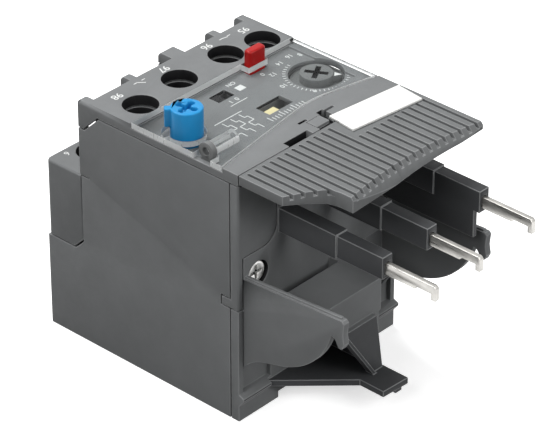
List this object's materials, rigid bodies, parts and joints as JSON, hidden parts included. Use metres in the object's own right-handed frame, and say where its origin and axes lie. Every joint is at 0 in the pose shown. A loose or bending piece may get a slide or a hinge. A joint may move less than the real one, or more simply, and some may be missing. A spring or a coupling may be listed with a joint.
{
  "type": "thermal overload relay",
  "caption": "Plug-on motor overload relay with grooved front apron, hooked pins in sleeves, guide wings, blue reset knob, red stop button, dial under a clear sealable cover.",
  "frame": {"origin": "centre of the whole part in plan, at its back face, which lies on the floor", "axes": "+Z out of the front panel, +Y toward the load terminals, -Y toward the contactor and the pins, X across the module"},
  "size_m": [0.045, 0.088, 0.0606],
  "materials": {
    "body": "moulded matt dark grey",
    "apron": "moulded matt grey",
    "seal": "moulded matt grey",
    "clear": "clear moulded window",
    "label": "white write-on",
    "blue": "glossy blue",
    "red": "glossy red",
    "dark": "black",
    "cream": "cream yellow",
    "dial": "dark grey",
    "tinned": "tinned, drawn",
    "zinc": "zinc plated",
    "spring": "drawn wire"
  },
  "bodies": {
    "housing": {"apron_clip": "body", "aux_bars": "tinned", "aux_clamps": "zinc", "aux_screws": "zinc", "corner_panel": "body", "coupling_cover": "body", "front_apron": "apron", "housing_screws": "zinc", "load_bars": "tinned", "main_cages": "zinc", "main_housing": "body", "main_screws": "zinc", "marker_label": "label", "pin_left": "tinned", "pin_middle": "tinned", "pin_right": "tinned", "reset_spring": "spring", "seal_post": "seal", "stop_spring": "spring", "terminal_block": "body", "top_cover": "body"},
    "cover": {"clear_cover": "clear"},
    "reset_push": {"reset_plunger": "dark"},
    "reset_turn": {"reset_knob": "blue"},
    "stop": {"stop_button": "red"},
    "test": {"test_slide": "dark"},
    "trip": {"trip_flag": "cream"},
    "dial": {"setting_dial": "dial"}
  },
  "joints": [
    {"name": "cover_hinge", "type": "hinge", "parent": "housing", "child": "cover", "pos_m": [0.02188, 0.0097, 0.05461], "axis": [0, 1, 0], "range_deg": [0, 105]},
    {"name": "reset_press", "type": "slide", "parent": "housing", "child": "reset_push", "axis": [0, 0, -1], "range_m": [0, 0.0016], "stiffness_N_per_m": 600, "springref_m": -0.001, "deforming": ["reset_spring"]},
    {"name": "reset_select", "type": "hinge", "parent": "reset_push", "child": "reset_turn", "pos_m": [-0.0177, 0.0105, 0.057], "axis": [0, 0, 1], "range_deg": [-90, 0]},
    {"name": "stop_press", "type": "slide", "parent": "housing", "child": "stop", "axis": [0, 0, -1], "range_m": [0, 0.002], "stiffness_N_per_m": 500, "springref_m": -0.001, "deforming": ["stop_spring"]},
    {"name": "test_push", "type": "slide", "parent": "housing", "child": "test", "axis": [1, 0, 0], "range_m": [0, 0.0016], "stiffness_N_per_m": 200, "springref_m": -0.0005},
    {"name": "flag_shift", "type": "slide", "parent": "housing", "child": "trip", "axis": [1, 0, 0], "range_m": [0, 0.003]},
    {"name": "dial_turn", "type": "hinge", "parent": "housing", "child": "dial", "pos_m": [0.0167, 0.0091, 0.05], "axis": [0, 0, 1], "range_deg": [-140, 140]}
  ]
}
